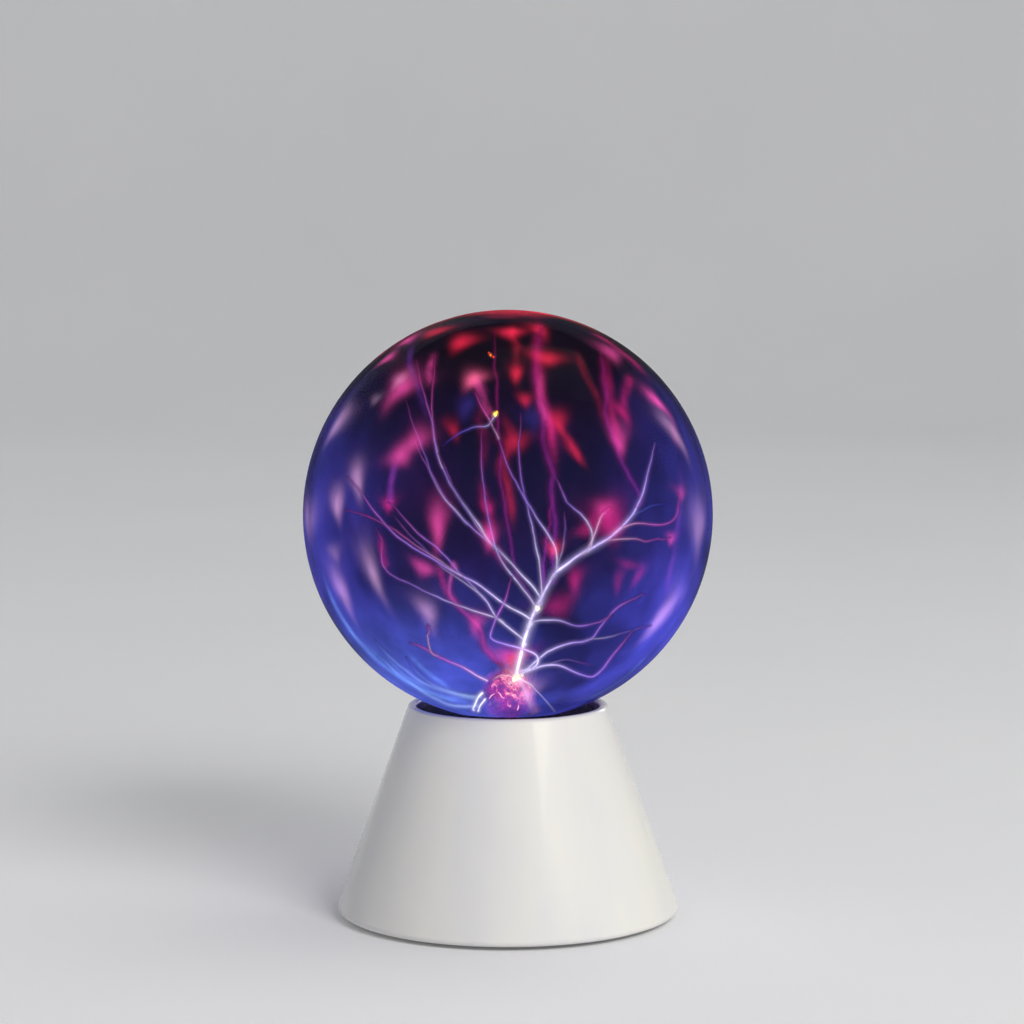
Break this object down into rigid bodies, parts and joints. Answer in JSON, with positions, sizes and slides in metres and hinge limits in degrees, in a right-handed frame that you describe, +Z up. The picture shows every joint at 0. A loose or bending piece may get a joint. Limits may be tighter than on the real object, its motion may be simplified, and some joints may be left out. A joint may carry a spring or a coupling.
{
  "type": "plasma ball",
  "caption": "Glass globe with a small low electrode, on a glossy conical base that holds its driver, with a low-voltage inlet and a slide switch in a recess at the back.",
  "frame": {"origin": "on the table, at the centre of the base's footprint, under the globe's centre", "axes": "+Z up through the globe's centre, -Y the front, +Y the back with the inlet and the switch"},
  "size_m": [0.15, 0.15, 0.223],
  "materials": {
    "clear_glass": "blown, polished",
    "white_gloss": "glossy moulded",
    "black_plastic": "fine matt",
    "dark_foam": "matt foam",
    "silicone": "cured sealant",
    "red_silicone": "smooth",
    "foot_rubber": "matt",
    "metal_wool": "crumpled",
    "wire_metal": "drawn",
    "zinc_steel": "zinc plated",
    "board_laminate": "solder mask",
    "ferrite": "sintered",
    "copper": "enamelled copper",
    "nylon": "natural",
    "aluminium": "extruded",
    "epoxy_black": "moulded epoxy",
    "capacitor_sleeve": "shrunk sleeve",
    "film_yellow": "moulded",
    "resistor_beige": "painted ceramic",
    "plated_brass": "plated"
  },
  "bodies": {
    "lamp": {"globe": "clear_glass", "electrode_bulb": "clear_glass", "exhaust_tip": "clear_glass", "electrode_wool": "metal_wool", "electrode_wire": "wire_metal", "electrode_boot": "silicone", "hv_lead": "red_silicone", "globe_cushion": "dark_foam", "neck_collar": "black_plastic", "neck_sealant": "silicone", "collar_screws": "zinc_steel", "base_shell": "white_gloss", "base_plate": "black_plastic", "base_screws": "zinc_steel", "foot_1": "foot_rubber", "foot_2": "foot_rubber", "foot_3": "foot_rubber", "foot_4": "foot_rubber", "circuit_board": "board_laminate", "board_screws": "zinc_steel", "core_lower": "ferrite", "core_upper": "ferrite", "core_tie": "nylon", "secondary_winding": "epoxy_black", "primary_spool": "nylon", "primary_winding": "copper", "heatsink": "aluminium", "power_transistor": "epoxy_black", "transistor_screw": "zinc_steel", "transistor_nut": "zinc_steel", "filter_capacitor": "capacitor_sleeve", "input_capacitor": "capacitor_sleeve", "film_capacitor": "film_yellow", "resistors": "resistor_beige", "driver_chip": "epoxy_black", "dc_jack_body": "black_plastic", "dc_jack_pin": "plated_brass", "dc_jack_contacts": "plated_brass", "switch_frame": "zinc_steel", "switch_base": "epoxy_black", "switch_contacts": "plated_brass"},
    "switch_knob": {"switch_slider": "black_plastic", "switch_wiper": "plated_brass"}
  },
  "joints": [
    {"name": "mode_slide", "type": "slide", "parent": "lamp", "child": "switch_knob", "axis": [1, 0, 0], "range_m": [-0.004, 0]}
  ]
}
